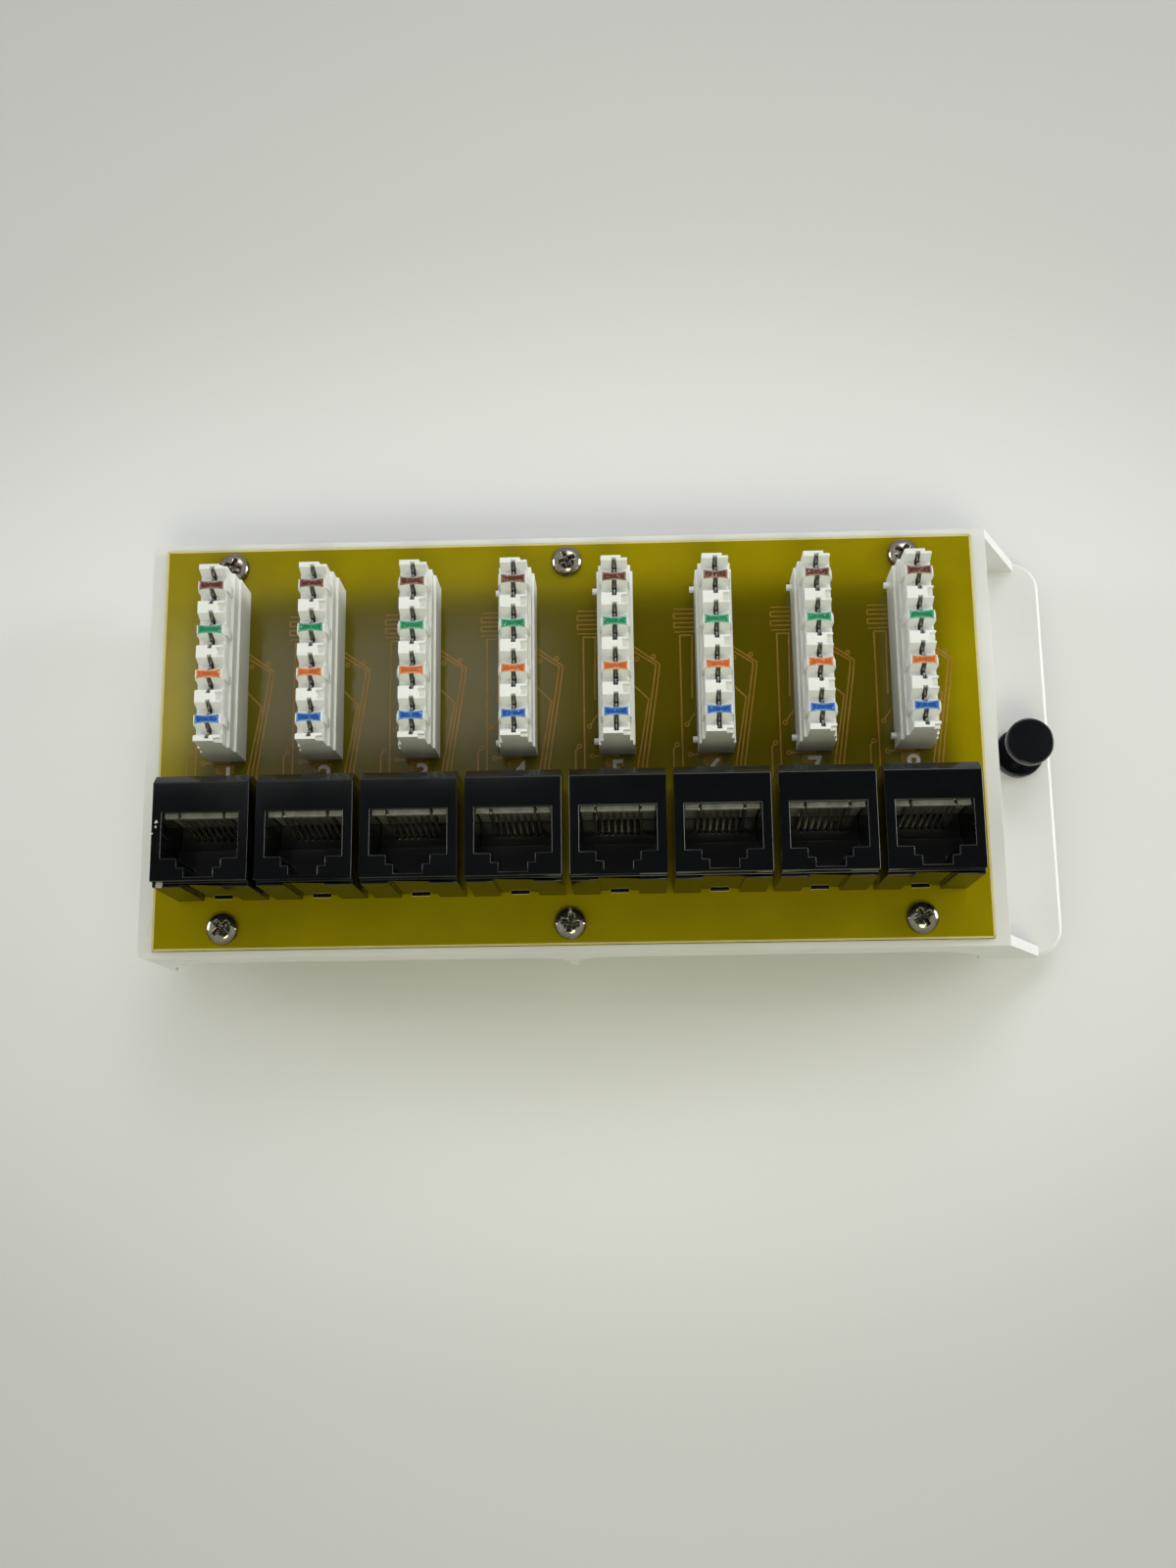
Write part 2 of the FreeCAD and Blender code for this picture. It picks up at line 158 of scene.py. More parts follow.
@dataclass(frozen=True)
class Finish:
    """A real surface: its two tones, gloss and relief, from typical values matched to the object."""

    name: str
    tone: str
    shade: str
    roughness: float
    mottle_mm: float
    relief: Bump = Bump.GRAIN
    relief_mm: float = 0.4
    relief_depth_mm: float = 0.01
    metallic: float = 0.0
    ior: float = 1.5
    gloss_spread: float = 0.08
    least_roughness: float = 0.02
    cloud_detail: float = 5.0
    cloud_roughness: float = 0.6
    cloud_limits: Point2 = (0.3, 0.7)
    smear_in_mottles: float = 3.0
    smear_limits: Point2 = (0.25, 0.75)
    fine_detail: float = 3.0
    drawn_stretch: float = 12.0
    relief_strength: float = 0.5

    def material(self) -> bpy.types.Material:
        """Return the finish's material, built on its first use."""
        return bpy.data.materials.get(self.name) or self._build()

    def _build(self) -> bpy.types.Material:
        """Build the shader: colour, gloss and relief each from a pattern of its own real size.

        Returns:
            The new material.
        """
        made = bpy.data.materials.new(self.name)
        made.use_nodes = True
        tree = made.node_tree
        tree.nodes.clear()
        place = add_node(tree, "ShaderNodeTexCoord").outputs["Object"]
        shader = add_node(tree, "ShaderNodeBsdfPrincipled", {
            "Base Color": self._colour(tree, place),
            "Roughness": self._gloss(tree, place),
            "Normal": self._relief(tree, place),
            "Metallic": self.metallic,
        })
        if not self.metallic:
            shader.inputs["IOR"].default_value = self.ior
        add_node(tree, "ShaderNodeOutputMaterial", {"Surface": shader.outputs["BSDF"]})
        return made

    def _colour(self, tree: Tree, place: Socket) -> Socket:
        """Cloud the tone with its shade, in soft patches of the finish's mottle size.

        Args:
            tree: The material's nodes.
            place: The place on the surface.

        Returns:
            The colour.
        """
        cloud = add_node(tree, "ShaderNodeTexNoise", {
            "Vector": place, "Scale": 1 / (self.mottle_mm * MM),
            "Detail": self.cloud_detail, "Roughness": self.cloud_roughness})
        low, high = self.cloud_limits
        patch = add_node(tree, "ShaderNodeMapRange", {
            "Value": cloud.outputs["Fac"], "From Min": low, "From Max": high})
        mixed = add_node(tree, "ShaderNodeMixRGB", {
            "Fac": patch.outputs["Result"], "Color1": linear(self.shade), "Color2": linear(self.tone)})
        return mixed.outputs["Color"]

    def _gloss(self, tree: Tree, place: Socket) -> Socket:
        """Vary the roughness a little, as handling and mould wear do.

        Args:
            tree: The material's nodes.
            place: The place on the surface.

        Returns:
            The roughness.
        """
        smear = add_node(tree, "ShaderNodeTexNoise", {
            "Vector": place, "Scale": 1 / (self.smear_in_mottles * self.mottle_mm * MM),
            "Detail": self.fine_detail})
        low, high = self.smear_limits
        return add_node(tree, "ShaderNodeMapRange", {
            "Value": smear.outputs["Fac"], "From Min": low, "From Max": high,
            "To Min": max(self.least_roughness, self.roughness - self.gloss_spread),
            "To Max": min(1.0, self.roughness + self.gloss_spread)}).outputs["Result"]

    def _relief(self, tree: Tree, place: Socket) -> Socket:
        """Raise the surface's own texture: moulded grain, drawn lines or woven cloth.

        Args:
            tree: The material's nodes.
            place: The place on the surface.

        Returns:
            The bumped normal.
        """
        scale = 1 / (self.relief_mm * MM)
        if self.relief is Bump.WEAVE:
            threads = {"Vector": place, "Scale": scale / HALF_WAVES_PER_UNIT}
            warp = add_node(tree, "ShaderNodeTexWave", threads, bands_direction="X")
            weft = add_node(tree, "ShaderNodeTexWave", threads, bands_direction="Y")
            height = add_node(tree, "ShaderNodeMath", {0: warp.outputs["Fac"], 1: weft.outputs["Fac"]},
                              operation="MULTIPLY").outputs["Value"]
        else:
            stretch = self.drawn_stretch if self.relief is Bump.DRAWN else 1.0
            drawn = add_node(tree, "ShaderNodeMapping", {"Vector": place, "Scale": (1.0, 1.0, stretch)})
            height = add_node(tree, "ShaderNodeTexNoise", {
                "Vector": drawn.outputs["Vector"], "Scale": scale, "Detail": self.fine_detail}).outputs["Fac"]
        raised = add_node(tree, "ShaderNodeBump", {
            "Height": height, "Strength": self.relief_strength, "Distance": self.relief_depth_mm * MM})
        return raised.outputs["Normal"]


@dataclass(frozen=True)
class StampedFoil(Finish):
    """Hot-stamped colour foil: solid in the middle, with the white plastic showing through in flecks."""

    bare: str = "#E4E4E0"
    fleck_mm: float = 0.35
    fleck_detail: float = 4.0
    fleck_roughness: float = 0.7
    fleck_limits: Point2 = (0.59, 0.74)

    def _colour(self, tree: Tree, place: Socket) -> Socket:
        """Let flecks of the bare plastic through the foil's two tones.

        Args:
            tree: The material's nodes.
            place: The place on the surface.

        Returns:
            The colour.
        """
        foil = super()._colour(tree, place)
        fleck = add_node(tree, "ShaderNodeTexNoise", {
            "Vector": place, "Scale": 1 / (self.fleck_mm * MM),
            "Detail": self.fleck_detail, "Roughness": self.fleck_roughness})
        low, high = self.fleck_limits
        marked = add_node(tree, "ShaderNodeMapRange", {
            "Value": fleck.outputs["Fac"], "From Min": low, "From Max": high})
        return add_node(tree, "ShaderNodeMixRGB", {
            "Fac": marked.outputs["Result"], "Color1": foil, "Color2": linear(self.bare)}).outputs["Color"]


@dataclass(frozen=True)
class FloorPaint(Finish):
    """Matt floor paint, with painted shade greying it outside a pool of light as wide as the part, and paler
    again at the horizon.
    """

    far_shade: str = "#C4C4C1"
    far_reach_mm: Point2 = (52.0, 112.0)
    horizon_tone: str = "#EAEAE7"
    horizon_reach_mm: Point2 = (160.0, 520.0)
    pool_shape: Point3 = (0.5, 1.0, 1.0)

    def _colour(self, tree: Tree, place: Socket) -> Socket:
        """Paint shade outside a pool of light as wide as the part, then pale the paint far out.

        Args:
            tree: The material's nodes.
            place: The place on the surface.

        Returns:
            The colour.
        """
        paint = super()._colour(tree, place)
        pool = add_node(tree, "ShaderNodeVectorMath", {0: place, 1: self.pool_shape}, operation="MULTIPLY")
        away = add_node(tree, "ShaderNodeVectorMath", {0: pool.outputs["Vector"]}, operation="LENGTH")
        # Painted shade outside the pool of light, then paler paint towards the horizon.
        for tone, (start, end) in ((self.far_shade, self.far_reach_mm),
                                   (self.horizon_tone, self.horizon_reach_mm)):
            fade = add_node(tree, "ShaderNodeMapRange", {
                "Value": away.outputs["Value"], "From Min": start * MM, "From Max": end * MM},
                interpolation_type="SMOOTHSTEP")
            paint = add_node(tree, "ShaderNodeMixRGB", {
                "Fac": fade.outputs["Result"], "Color1": paint, "Color2": linear(tone)}).outputs["Color"]
        return paint


@dataclass(frozen=True)
class SolderMask(Finish):
    """Olive solder mask over laminate, with painted shade darkening the middle of the board, where the blocks
    and jacks keep the light off it.
    """

    # Painted shade, and the soft-edged band round the board's middle that it covers.
    pour_shade: str = "#5A5000"
    pour_middle_mm: Point2 = (0.0, 8.0)
    pour_half_mm: Point2 = (58.0, 12.0)
    pour_soft_mm: Point2 = (7.0, 10.5)

    def _colour(self, tree: Tree, place: Socket) -> Socket:
        """Paint shade on the mask in a soft-edged band over the middle of the board.

        Args:
            tree: The material's nodes.
            place: The place on the surface.

        Returns:
            The colour.
        """
        mask = super()._colour(tree, place)
        low, high = box_mm("circuit_board")
        centre = (low + high) / 2
        parts = add_node(tree, "ShaderNodeSeparateXYZ", {"Vector": place})
        shaded: Socket | float = 1.0
        reaches = zip(self.pour_middle_mm, self.pour_half_mm, self.pour_soft_mm)
        for i, (middle, half, soft) in enumerate(reaches):
            off = add_node(tree, "ShaderNodeMath", {0: parts.outputs[i], 1: (centre[i] + middle) * MM},
                           operation="SUBTRACT")
            out = add_node(tree, "ShaderNodeMath", {0: off.outputs["Value"]}, operation="ABSOLUTE")
            fade = add_node(tree, "ShaderNodeMapRange", {
                "Value": out.outputs["Value"], "From Min": half * MM, "From Max": (half + soft) * MM,
                "To Min": 1.0, "To Max": 0.0}, interpolation_type="SMOOTHSTEP")
            shaded = add_node(tree, "ShaderNodeMath", {0: shaded, 1: fade.outputs["Result"]},
                            operation="MULTIPLY").outputs["Value"]
        # Painted shade: the band darkens the mask between the blocks and jacks.
        return add_node(tree, "ShaderNodeMixRGB", {
            "Fac": shaded, "Color1": mask, "Color2": linear(self.pour_shade)}).outputs["Color"]


@dataclass(frozen=True)
class HousingPlastic(Finish):
    """Housing plastic, with a painted sheen on the sockets' floors and knocks along the first jack's outer
    edge.

    Each knock is its place from the front, left and top of the first jack's box, and its radius.
    """

    dust: str = "#2A2B2C"
    below_top_mm: float = 4.0
    facing_up: float = 0.8
    bruise: str = "#A8A7A1"
    ragged_mm: float = 0.4
    knocks_mm: tuple[tuple[float, float, float, float], ...] = (
        (1.1, 0.35, -1.65, 0.58), (0.75, 9.8, 0.0, 0.27), (0.68, 9.1, 0.0, 0.18), (0.2, 8.1, 0.0, 0.18))

    def _colour(self, tree: Tree, place: Socket) -> Socket:
        """Paint a paler sheen on the faces that look up from well below the housings' tops, for the light that
        the sockets' floors catch, then add the knocks.

        Args:
            tree: The material's nodes.
            place: The place on the surface.

        Returns:
            The colour.
        """
        black_colour = super()._colour(tree, place)
        _, high = box_mm("jack_housing_1")
        level = add_node(tree, "ShaderNodeSeparateXYZ", {"Vector": place}).outputs["Z"]
        deep = add_node(tree, "ShaderNodeMath", {0: level, 1: (high.z - self.below_top_mm) * MM},
                        operation="LESS_THAN")
        faces = add_node(tree, "ShaderNodeNewGeometry").outputs["Normal"]
        up = add_node(tree, "ShaderNodeSeparateXYZ", {"Vector": faces}).outputs["Z"]
        flat = add_node(tree, "ShaderNodeMath", {0: up, 1: self.facing_up}, operation="GREATER_THAN")
        # Painted sheen: faces deep in the sockets that look up are lightened for the light that their floors
        # catch.
        sheened = add_node(tree, "ShaderNodeMath", {0: deep.outputs["Value"], 1: flat.outputs["Value"]},
                         operation="MULTIPLY")
        marked = add_node(tree, "ShaderNodeMixRGB", {
            "Fac": sheened.outputs["Value"], "Color1": black_colour, "Color2": linear(self.dust)}).outputs["Color"]
        return self._knocked(tree, place, marked)

    def _knocked(self, tree: Tree, place: Socket, marked: Socket) -> Socket:
        """Whiten the knocks, each with a ragged outline.

        Args:
            tree: The material's nodes.
            place: The place on the surface.
            marked: The surface's colour so far.

        Returns:
            The colour with the knocks.
        """
        low, high = box_mm("jack_housing_1")
        corner = Vector((low.x, low.y, high.z))
        noise = add_node(tree, "ShaderNodeTexNoise", {"Vector": place, "Scale": 1 / (self.ragged_mm * MM)})
        ragged = add_node(tree, "ShaderNodeVectorMath", {
            0: noise.outputs["Color"], 1: (self.ragged_mm * MM,) * 3, 2: place}, operation="MULTIPLY_ADD")
        for *off, radius in self.knocks_mm:
            middle = corner + Vector(off) + Vector((self.ragged_mm / 2,) * 3)
            gap = add_node(tree, "ShaderNodeVectorMath", {
                0: ragged.outputs["Vector"], 1: tuple(middle * MM)}, operation="DISTANCE")
            bare = add_node(tree, "ShaderNodeMath", {0: gap.outputs["Value"], 1: radius * MM},
                            operation="LESS_THAN")
            mixed = add_node(tree, "ShaderNodeMixRGB", {
                "Fac": bare.outputs["Value"], "Color1": marked, "Color2": linear(self.bruise)})
            marked = mixed.outputs["Color"]
        return marked


# Moulded grain and drawn lines are mostly finer than 0.1 mm; here they are just coarse enough to show.

# ABS, injection moulded in a lightly sparked tool: a soft white with a faint satin sheen.
WHITE_ABS = Finish("abs_white_moulded_satin", "#D7D7D5", "#CFCFCD", roughness=0.32, mottle_mm=18.0,
                   relief_mm=0.35, relief_depth_mm=0.006, ior=1.53)
# PBT, moulded fine: a brighter, cooler white than the bracket, with a soft even sheen.
WHITE_PBT = Finish("pbt_white_moulded_fine", "#E2E3E0", "#D8D9D5", roughness=0.36, mottle_mm=6.0,
                   relief_mm=0.2, relief_depth_mm=0.003, ior=1.55)
# Glass-filled PBT, moulded in a polished tool: near black, with walls that mirror the board beside them, and a
# painted sheen on the sockets' floors.
BLACK_PBT = HousingPlastic("pbt_black_moulded_polished", "#0A0C0E", "#060709", roughness=0.1, mottle_mm=4.0,
                           relief_mm=0.25, relief_depth_mm=0.002, ior=1.42, gloss_spread=0.03)
# Nylon 6, moulded: black with a wet-looking gloss.
BLACK_NYLON = Finish("nylon_black_moulded_gloss", "#0C0E12", "#07080A", roughness=0.16, mottle_mm=3.0,
                     relief_mm=0.5, relief_depth_mm=0.003, ior=1.5, gloss_spread=0.04)
# PBT insert, moulded grey: pale against the black housing, so its edge shows in the socket.
GREY_PBT = Finish("pbt_grey_moulded", "#8C8C86", "#62625C", roughness=0.4, mottle_mm=1.4,
                  relief_mm=0.3, relief_depth_mm=0.003, ior=1.55)
# Gold flash over nickel on phosphor bronze: so thin that each wire is a pale line, only a little warm.
GOLD_FLASH = Finish("bronze_gold_flashed", "#E9E2CE", "#D0C5A8", roughness=0.35, mottle_mm=0.8,
                    relief=Bump.DRAWN, relief_mm=0.1, relief_depth_mm=0.001, metallic=1.0)
# Tin plate on phosphor bronze, stamped: dull silver, its tone darkened as painted shade for the deep slot it
# stands in.
TIN_PLATE = Finish("bronze_tin_plated", "#8E8C86", "#5E5C58", roughness=0.4, mottle_mm=0.8,
                   relief=Bump.DRAWN, relief_mm=0.1, relief_depth_mm=0.001, metallic=0.7)
# Steel, cold headed and nickel plated: a grey mirror with fine tool marks.
NICKEL_STEEL = Finish("steel_nickel_plated", "#989184", "#78736A", roughness=0.1, mottle_mm=1.2,
                      relief=Bump.DRAWN, relief_mm=0.15, relief_depth_mm=0.002, metallic=1.0)
# Epoxy solder mask on woven laminate: glossy olive, with the cloth faintly printed through and painted shade
# over the board's middle.
OLIVE_MASK = SolderMask("epoxy_solder_mask_olive", "#8D7F00", "#817400", roughness=0.12, mottle_mm=14.0,
                        relief=Bump.WEAVE, relief_mm=0.7, relief_depth_mm=0.002, ior=1.36, gloss_spread=0.04)
# Bare laminate at the board's edge, where the copper and mask stop short: paler and yellower, and paler still
# as a painted highlight where the cut edges catch the light.
BARE_LAMINATE_HIGHLIGHT = Finish("laminate_bare_edge_highlight", "#CDBF7C", "#BDAF6A", roughness=0.4, mottle_mm=3.0,
                       relief_mm=0.3, relief_depth_mm=0.004)
# Copper tracks under the mask: a warm brown line, a little duller than the mask.
MASKED_COPPER = Finish("copper_under_mask", "#98742E", "#876322", roughness=0.24, mottle_mm=2.0,
                       relief_mm=0.4, relief_depth_mm=0.002, ior=1.4)
# Silk-screened epoxy ink: flat white with slightly ragged density.
WHITE_INK = Finish("ink_white_screened", "#CFCBC4", "#BDB9B0", roughness=0.55, mottle_mm=0.6,
                   relief_mm=0.2, relief_depth_mm=0.003)
# Tin-lead solder, wave soldered: small bright domes.
SOLDER = Finish("solder_wave_bright", "#B8B8B4", "#98988F", roughness=0.25, mottle_mm=0.7,
                relief_mm=0.3, relief_depth_mm=0.004, metallic=1.0)


def stamped(pair: Pair, wear: Wear) -> StampedFoil:
    """Return the stamped foil finish of a wire pair's colour.

    Args:
        pair: The wire pair.
        wear: How far the white plastic pales the foil.

    Returns:
        The finish, named for its pair and its wear.
    """
    channels = [int(pair.value[i:i + 2], 16) for i in (1, 3, 5)]
    paler = tuple(int(c + (255 - c) * wear.value) for c in channels)
    darker = tuple(int(c * FOIL_SHADE) for c in paler)
    return StampedFoil("foil_%s_%s" % (pair.name.lower(), wear.name.lower()), "#%02X%02X%02X" % paler,
                       "#%02X%02X%02X" % darker, roughness=0.4, mottle_mm=0.9,
                       relief_mm=0.3, relief_depth_mm=0.01, ior=1.35)


def dress(node: str, finish: Finish, edge_mm: float) -> None:
    """Give a CAD node its finish and soft moulded edges.

    Args:
        node: The node's name.
        finish: The surface that it gets.
        edge_mm: Width of the softened edges.
    """
    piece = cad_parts[node]
    piece.data.materials.clear()
    piece.data.materials.append(finish.material())
    weld = piece.modifiers.new("weld", "WELD")
    weld.merge_threshold = WELD_M
    flat = piece.modifiers.new("flat", "DECIMATE")
    flat.decimate_type = "DISSOLVE"
    flat.angle_limit = math.radians(LEVEL_DEG)
    soft = piece.modifiers.new("soft_edges", "BEVEL")
    soft.width = edge_mm * MM
    soft.segments = SOFTEN_STEPS
    soft.limit_method = "ANGLE"
    soft.angle_limit = math.radians(SOFTEN_DEG)
    normals = piece.modifiers.new("normals", "WEIGHTED_NORMAL")
    normals.keep_sharp = False
    log.info("dressed %s in %s", node, finish.name)


def add_piece(name: str, mesh: bpy.types.Mesh, finish: Finish, body: str) -> bpy.types.Object:
    """Put a finished mesh in the scene and tie it to a body and a material slot.

    Args:
        name: The piece's name.
        mesh: Its mesh, in the CAD frame.
        finish: Its surface.
        body: The CAD body that it rides on.

    Returns:
        The new object.
    """
    mesh.materials.append(finish.material())
    piece = bpy.data.objects.new(name, mesh)
    bpy.context.collection.objects.link(piece)
    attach(piece, body)
    log.info("added %s", name)
    return piece


def mesh_from(name: str, shapes: bmesh.types.BMesh) -> bpy.types.Mesh:
    """Turn a finished bmesh into a mesh and free it.

    Args:
        name: The mesh's name.
        shapes: The shapes to turn.

    Returns:
        The mesh, with its faces turned outward.
    """
    mesh = bpy.data.meshes.new(name)
    bmesh.ops.recalc_face_normals(shapes, faces=shapes.faces)
    shapes.to_mesh(mesh)
    shapes.free()
    return mesh


def add_prism(shapes: bmesh.types.BMesh, outline: Iterable[Point2], low: float, high: float) -> None:
    """Add an upright prism.

    Args:
        shapes: The mesh to add to.
        outline: Plan of the prism, in millimetres.
        low: Height of its underside, in millimetres.
        high: Height of its top, in millimetres.
    """
    plan = list(outline)
    below = [shapes.verts.new((x * MM, y * MM, low * MM)) for x, y in plan]
    above = [shapes.verts.new((x * MM, y * MM, high * MM)) for x, y in plan]
    shapes.faces.new(above)
    shapes.faces.new(list(reversed(below)))
    for i in range(len(plan)):
        j = (i + 1) % len(plan)
        shapes.faces.new((below[i], below[j], above[j], above[i]))


def ribbon(route: Route, width: float) -> list[Point2]:
    """Return the outline of a strip along a route, mitred at its corners.

    Args:
        route: Points of the strip's middle line, in millimetres.
        width: The strip's width, in millimetres.

    Returns:
        The outline's points, out along one side and back along the other.
    """
    points = [Vector(p) for p in route]
    left: list[Point2] = []
    right: list[Point2] = []
    for i, point in enumerate(points):
        runs = [points[j + 1] - points[j] for j in (i - 1, i) if 0 <= j < len(points) - 1]
        sides = [Vector((-run.y, run.x)).normalized() for run in runs]
        middle = sum(sides, Vector((0.0, 0.0))).normalized()
        reach = width / 2 / max(MITRE_FLOOR, middle.dot(sides[0]))
        left.append(tuple(point + middle * reach))
        right.append(tuple(point - middle * reach))
    return left + right[::-1]


def ring(centre: Point2, radius: float, count: int = 14) -> list[Point2]:
    """Return the points of a circle in plan."""
    turns = [2 * math.pi * i / count for i in range(count)]
    return [(centre[0] + radius * math.cos(t), centre[1] + radius * math.sin(t)) for t in turns]


@dataclass
class Bracket:
    """The white moulding that carries everything."""

    edge_mm: float = 0.4

    def build(self) -> None:
        """Dress the bracket."""
        dress("bracket", WHITE_ABS, self.edge_mm)


@dataclass
class CircuitBoard:
    """The board, its masked tracks, its pale edge with a painted highlight, its port numbers, its jack slots
    with painted shade in them and solder joints.

    A lift is a film's height over the board, in film thicknesses. Runs and vias are one port's, with x from
    the port's middle.
    """

    port_count: int = 8
    wire_count: int = 8
    edge_mm: float = 0.12
    film_mm: float = 0.02
    track_mm: float = 0.26
    fine_track_mm: float = 0.2
    via_radius_mm: float = 0.42
    via_hole_mm: float = 0.22
    via_lift: float = 1.5
    via_hole_lift: float = 2.0
    border_mm: float = 0.34
    border_over_mm: float = 0.08
    border_lift: float = 0.6
    slot_length_mm: float = 2.9
    slot_width_mm: float = 1.2
    slot_inset_mm: float = 0.3
    slot_rim_mm: float = 0.09
    slot_lift: float = 0.5
    digit_height_mm: float = 3.4
    digit_top_y_mm: float = -3.65
    digit_weight_mm: float = 0.07
    digit_share_of_font: float = 0.7
    digit_lift: float = 1.5
    digit_steps: int = 6
    meander_lines: int = 6
    meander_left_mm: float = -6.3
    meander_right_mm: float = -2.9
    meander_front_mm: float = 17.7
    meander_back_mm: float = 21.6
    joint_radius_mm: float = 0.62
    joint_height_mm: float = 0.9
    joint_row_mm: float = 1.27
    joint_sides: int = 10
    joint_rims: tuple[Point2, ...] = ((1.0, 0.0), (0.62, 0.35), (0.36, 1.0))
    wire_pitch_mm: float = 1.016
    runs: list[Route] = field(default_factory=lambda: [
        [(-5.35, -9.0), (-5.35, 17.1), (-3.4, 17.1), (-3.6, 6.4)],
        [(-3.2, 3.9), (-4.5, 2.0)],
        [(-6.2, -1.3), (-6.8, -2.1), (-6.8, -9.0)],
        [(-4.1, -3.0), (0.4, -3.0)],
        [(2.8, 14.6), (6.5, 12.2), (6.3, 10.6), (4.0, -4.5), (3.8, -9.0)],
        [(2.8, 15.4), (7.1, 12.3), (6.9, 10.4), (4.7, -4.5), (4.5, -9.0)],
        [(2.8, 8.8), (5.2, 6.4), (3.3, -4.5), (3.1, -9.0)],
        [(-1.9, -3.5), (0.9, -3.5), (0.9, -3.9), (-1.9, -3.9),
         (-1.9, -4.3), (0.9, -4.3), (0.9, -4.7), (-1.9, -4.7)],
    ])
    vias: list[Point2] = field(default_factory=lambda: [
        (-4.5, 2.0), (-6.2, -1.3), (-4.1, -3.0), (3.4, 13.2), (6.1, 13.6)])
    low: Vector = field(init=False)
    high: Vector = field(init=False)
    port_x: list[float] = field(init=False)

    def __post_init__(self) -> None:
        """Read the board's own box and the ports' places from the frame."""
        self.low, self.high = box_mm("circuit_board")
        boxes = [box_mm("jack_housing_%d" % (i + 1)) for i in range(self.port_count)]
        self.port_x = [(low.x + high.x) / 2 for low, high in boxes]

    def build(self) -> None:
        """Dress the board and lay everything on it."""
        dress("circuit_board", OLIVE_MASK, self.edge_mm)
        self._border()
        for number, x in enumerate(self.port_x, start=1):
            self._tracks(number, x)
            self._vias(number, x)
            self._digit(number, x)
            self._peg_slot(number, x)
            self._joints(number, x)

    def _film(self, name: str, outlines: Iterable[list[Point2]], finish: Finish, lift: float = 1.0) -> None:
        """Lay thin flat shapes on the board as one piece.

        Args:
            name: The piece's name.
            outlines: Plans of the shapes, in millimetres.
            finish: Their surface.
            lift: Height above the board, in film thicknesses.
        """
        shapes = bmesh.new()
        for outline in outlines:
            add_prism(shapes, outline, self.high.z - self.film_mm, self.high.z + lift * self.film_mm)
        add_piece(name, mesh_from(name, shapes), finish, "module")

    def _border(self) -> None:
        """Pale strip round the board, where the mask stops short and the cut leaves a slight burr, lightened
        further as a painted highlight of the lit edge.
        """
        inset = self.border_mm / 2 - self.border_over_mm
        x0, x1 = self.low.x + inset, self.high.x - inset
        y0, y1 = self.low.y + inset, self.high.y - inset
        sides = [[(x0, y0), (x1, y0)], [(x0, y1), (x1, y1)], [(x0, y0), (x0, y1)], [(x1, y0), (x1, y1)]]
        strips = [ribbon(side, self.border_mm) for side in sides]
        self._film("board_edge", strips, BARE_LAMINATE_HIGHLIGHT, self.border_lift)

    def _tracks(self, number: int, x: float) -> None:
        """One port's tracks: its runs to the jack and the meander that tunes the pair.

        Args:
            number: The port's number.
            x: The port's middle, in millimetres.
        """
        outlines = [ribbon([(x + px, py) for px, py in run], self.track_mm) for run in self.runs]
        meander: list[Point2] = []
        pitch = (self.meander_back_mm - self.meander_front_mm) / (self.meander_lines - 1)
        for i in range(self.meander_lines):
            y = self.meander_back_mm - i * pitch
            ends = [(x + self.meander_left_mm, y), (x + self.meander_right_mm, y)]
            meander += ends if i % 2 == 0 else ends[::-1]
        outlines.append(ribbon(meander, self.fine_track_mm))
        self._film("tracks_%d" % number, outlines, MASKED_COPPER)

    def _vias(self, number: int, x: float) -> None:
        """Small rings where tracks change sides, each with its dimple.

        Args:
            number: The port's number.
            x: The port's middle, in millimetres.
        """
        rings = [ring((x + px, py), self.via_radius_mm) for px, py in self.vias]
        self._film("vias_%d" % number, rings, MASKED_COPPER, self.via_lift)
        holes = [ring((x + px, py), self.via_hole_mm) for px, py in self.vias]
        self._film("via_holes_%d" % number, holes, OLIVE_MASK, self.via_hole_lift)

    def _digit(self, number: int, x: float) -> None:
        """The port's plain number in white ink, close behind its jack.

        Args:
            number: The port's number.
            x: The port's middle, in millimetres.
        """
        text = bpy.data.curves.new("port_number_%d" % number, "FONT")
        text.body = str(number)
        text.size = self.digit_height_mm * MM / self.digit_share_of_font
        text.align_x = "CENTER"
        text.extrude = self.film_mm * MM
        text.offset = self.digit_weight_mm * MM
        text.resolution_u = self.digit_steps
        text.materials.append(WHITE_INK.material())
        digit = bpy.data.objects.new("port_number_%d" % number, text)
        foot = self.digit_top_y_mm - self.digit_height_mm
        digit.location = Vector((x, foot, self.high.z + self.digit_lift * self.film_mm)) * MM
        bpy.context.collection.objects.link(digit)
        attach(digit, "module")
        log.info("added %s", digit.name)

    def _peg_slot(self, number: int, x: float) -> None:
        """The slot at the foot of a jack's front: a black film as painted shade inside it, with a thin bare
        rim before it.

        Args:
            number: The port's number.
            x: The port's middle, in millimetres.
        """
        jack_low, _ = box_mm("jack_housing_%d" % number)
        y = jack_low.y + self.slot_inset_mm + self.slot_width_mm / 2
        half = self.slot_length_mm / 2
        lip = y - self.slot_rim_mm
        rim = ribbon([(x - half, lip), (x + half, lip)], self.slot_width_mm)
        self._film("peg_slot_%d" % number, [rim], BARE_LAMINATE_HIGHLIGHT, self.slot_lift)
        # Painted shade: a black film stands for the dark inside the open slot.
        dark_slot = ribbon([(x - half, y), (x + half, y)], self.slot_width_mm)
        self._film("peg_%d" % number, [dark_slot], BLACK_NYLON)

